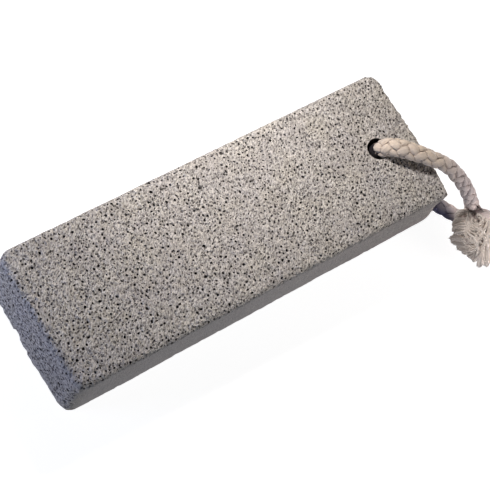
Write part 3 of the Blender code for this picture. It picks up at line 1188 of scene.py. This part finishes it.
def cotton_material(name, light, dark, greys_leg_and_paints_bar_shade=False):
    """Undyed cotton, with painted shade between its strands. The rope is grey towards the knot,
    and has the bar's shade painted on it, darker and bluer, where it lies low beside the bar."""
    n = Nodes(name)
    gap = n.attribute("gap")
    n.tone = n.mix(n.span(n.noise(0.7, 3.0, 0.6), 0.3, 0.7), dark, light)
    n.paint(n.span(n.noise(4.0, 2.0, 0.5, (1, 5, 3)), 0.35, 0.7, 0.0, 0.4), AGED)
    # Painted shade between strands, in yarn grooves and on hidden cores; on loose yarns also
    # their own random tone
    n.paint(n.span(gap, 0.12, 1.0), STRAND_SHADE_AND_TONE)
    # Painted shade on the rope inside the hole
    n.paint(n.span(gap, 1.0, 1.5), PAINTED_HOLE_SHADE)
    sheen = n.span(gap, 0.3, 1.1, SHEEN, 0.0)
    if greys_leg_and_paints_bar_shade:
        x, _, z = n.axes()
        n.paint(n.span(x, 0.064, 0.080, 0.0, 0.75), n.mix(1.0, n.tone, GREYED_BY, "MULTIPLY"))
        # Painted shade of the bar on the low leg: dimmer and bluer low down, darkest near the
        # table, with its sheen taken away there
        bar_shade_zone = n.span(x, 0.0815, 0.0850, 1.0, 0.0)
        n.paint(n.product(n.span(z, 0.008, 0.010, 0.55, 0.0), bar_shade_zone), PAINTED_DIMMING_UNDER_BAR)
        low = n.product(n.span(z, 0.0030, 0.0062, 0.95, 0.15), bar_shade_zone)
        n.paint(low, PAINTED_SHADE_UNDER_BAR)
        sheen = n.product(sheen, n.math("SUBTRACT", 1.0, low))
    n.feed(n.shader, {"Sheen Weight": sheen, "Sheen Roughness": 0.5})
    return n.finish(0.9, n.bump(n.noise(0.28, 3.0, 0.65), 0.10, 0.7))


def floor_material():
    """White paper to the eye, which throws a softer light back up at the stone."""
    n = Nodes("white_floor")
    n.feed(n.shader, {
        "Base Color": (0.35, 0.35, 0.35), "Roughness": 0.9,
        "Emission Color": (1, 1, 1), "Emission Strength": 0.93,
    })
    thrown = n.add("ShaderNodeEmission", {"Color": FLOOR_GLOW}).outputs[0]
    seen = n.add("ShaderNodeLightPath").outputs["Is Camera Ray"]
    both = n.add("ShaderNodeMixShader", {0: seen, 1: thrown, 2: n.shader.outputs[0]})
    n.feed(n.tree.nodes["Material Output"], {"Surface": both.outputs[0]})
    return n.material


# ---------------- camera and light

def aimed(made, place, target, roll=0.0):
    made.location = place * MM
    turn = (target - place).to_track_quat("-Z", "Y").to_matrix().to_4x4()
    made.rotation_euler = (turn @ Matrix.Rotation(roll, 4, "Z")).to_euler()


def make_camera():
    data = bpy.data.cameras.new("camera")
    data.lens = CAMERA_LENS
    data.sensor_width = SENSOR
    data.clip_start = 0.01
    camera = put_in_scene("camera", data)
    aimed(camera, CAMERA_PLACE, CAMERA_AIM, CAMERA_ROLL)
    bpy.context.scene.camera = camera


def area_light(name, place, target, size, watts, colour, spread):
    data = bpy.data.lights.new(name, "AREA")
    data.shape = "DISK"
    data.size = size * MM
    data.energy = watts
    data.color = colour
    data.spread = math.radians(spread)
    aimed(put_in_scene(name, data), Vector(place), Vector(target))


def make_lights():
    for light in LIGHTS:
        area_light(*light)
    world = bpy.data.worlds.new("studio")
    world.use_nodes = True
    background = world.node_tree.nodes["Background"]
    background.inputs["Color"].default_value = SKY
    background.inputs["Strength"].default_value = SKY_STRENGTH
    bpy.context.scene.world = world
    bpy.context.scene.view_settings.view_transform = "Standard"


def make_floor():
    half = FLOOR_HALF * MM
    mesh = bpy.data.meshes.new("floor")
    corners = [(-half, -half, 0), (half, -half, 0), (half, half, 0), (-half, half, 0)]
    mesh.from_pydata(corners, [], [(0, 1, 2, 3)])
    mesh.materials.append(floor_material())
    put_in_scene("floor", mesh)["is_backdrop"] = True


def main():
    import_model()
    cad_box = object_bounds()
    make_camera()
    cotton = cotton_material("cotton_rope", (0.885, 0.735, 0.575), (0.75, 0.615, 0.48), True)
    frayed = cotton_material("cotton_fray", (0.98, 0.90, 0.84), (0.85, 0.77, 0.70))
    rope, route = make_rope(cotton)
    knot = make_knot(cotton)
    tuft = make_tuft(frayed)
    stone = make_stone(pumice_material())
    make_lights()
    make_floor()
    for piece, node, slot in (
        (stone, "pumice_stone", "pumice"),
        (rope, "rope_loop", "cotton_rope"),
        (knot, "rope_knot", "cotton_rope"),
        (tuft, "frayed_tuft", "cotton_fray"),
    ):
        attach(piece, "root")
        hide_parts(node)
    path = [Vector(point) * MM for point in route[::4]]
    length = sum((after - here).length for here, after in zip(path, path[1:]))
    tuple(path[0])
    boxes = {"cad": cad_box, "visual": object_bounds()}
    lists = {name: [list(corner) for corner in box] for name, box in boxes.items()}


main()
